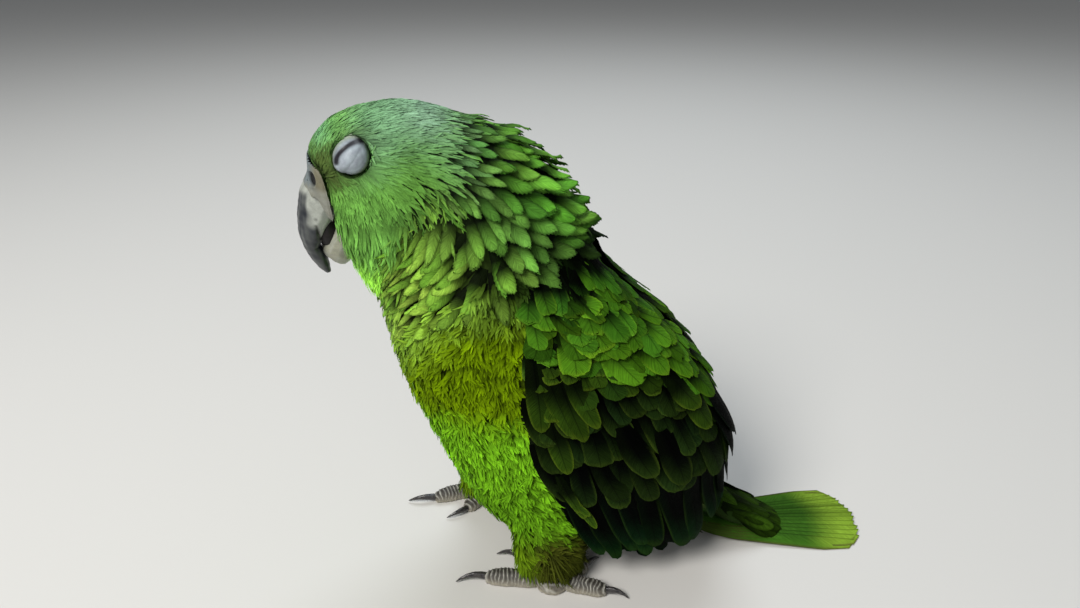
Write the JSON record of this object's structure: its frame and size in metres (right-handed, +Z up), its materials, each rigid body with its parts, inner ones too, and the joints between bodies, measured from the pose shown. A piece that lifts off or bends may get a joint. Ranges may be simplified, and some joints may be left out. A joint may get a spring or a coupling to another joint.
{
  "type": "amazon parrot",
  "caption": "Life-size still model of a green amazon parrot, standing on its two feet with its eyes closed and its head turned a little to the left.",
  "frame": {"origin": "middle of the bird's box, on the floor it stands on", "axes": "+X to the bird's left, -Y ahead of it, +Y towards the tail, +Z up"},
  "size_m": [0.091, 0.239, 0.202],
  "materials": {
    "head_plumage": "soft, dull sheen",
    "neck_plumage": "soft, dull sheen",
    "belly_plumage": "soft, matt",
    "thigh_plumage": "soft, matt",
    "covert_plumage": "smooth, low sheen",
    "scapular_plumage": "smooth, low sheen",
    "flight_feathers": "smooth, low sheen",
    "upper_bill_horn": "satin horn",
    "lower_bill_horn": "satin horn",
    "cere_skin": "matt bare skin",
    "lid_skin": "matt bare skin",
    "eye": "wet gloss",
    "toe_skin": "matt, scaly",
    "claw_horn": "glossy horn"
  },
  "bodies": {
    "root": {"cere": "cere_skin", "claw_left_1": "claw_horn", "claw_left_2": "claw_horn", "claw_left_3": "claw_horn", "claw_left_4": "claw_horn", "claw_right_1": "claw_horn", "claw_right_2": "claw_horn", "claw_right_3": "claw_horn", "claw_right_4": "claw_horn", "eye_left": "eye", "eye_right": "eye", "eyelid_left": "lid_skin", "eyelid_right": "lid_skin", "head": "head_plumage", "lower_bill": "lower_bill_horn", "neck": "neck_plumage", "tail": "flight_feathers", "tail_coverts": "scapular_plumage", "tarsus_left": "toe_skin", "tarsus_right": "toe_skin", "thigh_left": "thigh_plumage", "thigh_right": "thigh_plumage", "toe_left_1": "toe_skin", "toe_left_2": "toe_skin", "toe_left_3": "toe_skin", "toe_left_4": "toe_skin", "toe_right_1": "toe_skin", "toe_right_2": "toe_skin", "toe_right_3": "toe_skin", "toe_right_4": "toe_skin", "trunk": "belly_plumage", "upper_bill": "upper_bill_horn", "vent_coverts": "thigh_plumage", "wing_left_coverts": "covert_plumage", "wing_left_primaries": "flight_feathers", "wing_left_scapulars": "scapular_plumage", "wing_left_secondaries": "flight_feathers", "wing_right_coverts": "covert_plumage", "wing_right_primaries": "flight_feathers", "wing_right_scapulars": "scapular_plumage", "wing_right_secondaries": "flight_feathers"}
  },
  "joints": []
}
